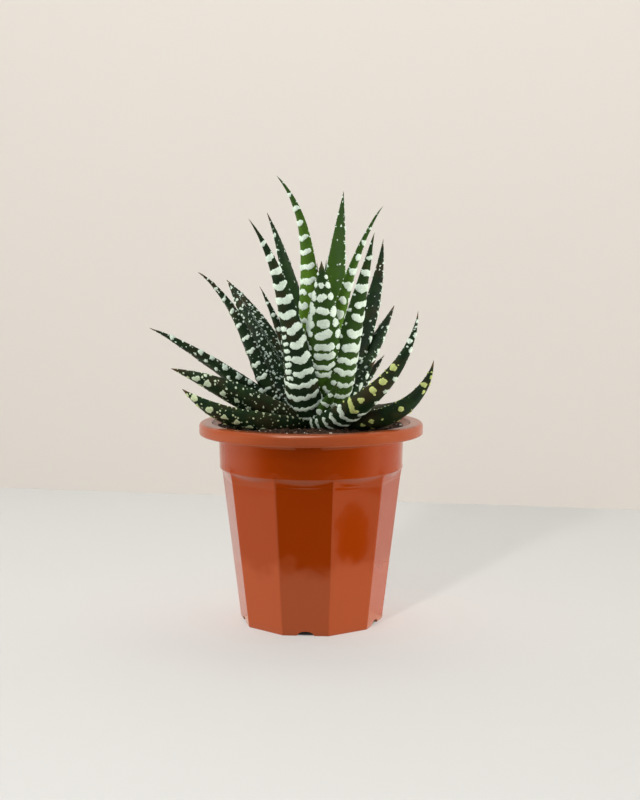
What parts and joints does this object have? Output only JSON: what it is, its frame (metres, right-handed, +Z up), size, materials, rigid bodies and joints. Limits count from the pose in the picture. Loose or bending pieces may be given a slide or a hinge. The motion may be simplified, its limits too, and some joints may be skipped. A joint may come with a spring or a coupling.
{
  "type": "potted haworthia",
  "caption": "Small zebra-banded succulent: a rosette of pointed, white-ridged leaves on a short stem, rooted in soil in a tapered ten-sided plastic pot with a flared rim",
  "frame": {"origin": "middle of the pot's foot, on the surface that it stands on", "axes": "+Z up; -Y is the front of the plant, which the picture shows; +X is to the right as seen from the front"},
  "size_m": [0.123, 0.1018, 0.1982],
  "materials": {
    "pot_plastic": "smooth, glossy, orange-brown",
    "soil": "crumbly, dark and matte, with pale grit",
    "stem": "matte, fibrous",
    "root": "matte, fleshy",
    "leaf": "waxy satin, dark green with raised white bands"
  },
  "bodies": {
    "root": {"pot": "pot_plastic", "soil": "soil", "stem": "stem", "roots": "root", "leaf_01": "leaf", "leaf_02": "leaf", "leaf_03": "leaf", "leaf_04": "leaf", "leaf_05": "leaf", "leaf_06": "leaf", "leaf_07": "leaf", "leaf_08": "leaf", "leaf_09": "leaf", "leaf_10": "leaf", "leaf_11": "leaf", "leaf_12": "leaf", "leaf_13": "leaf", "leaf_14": "leaf", "leaf_15": "leaf", "leaf_16": "leaf", "leaf_17": "leaf", "leaf_18": "leaf", "leaf_19": "leaf", "leaf_20": "leaf", "leaf_21": "leaf", "leaf_22": "leaf", "leaf_23": "leaf", "leaf_24": "leaf", "leaf_25": "leaf", "leaf_26": "leaf", "leaf_27": "leaf", "leaf_28": "leaf", "leaf_29": "leaf", "leaf_30": "leaf"}
  },
  "joints": []
}
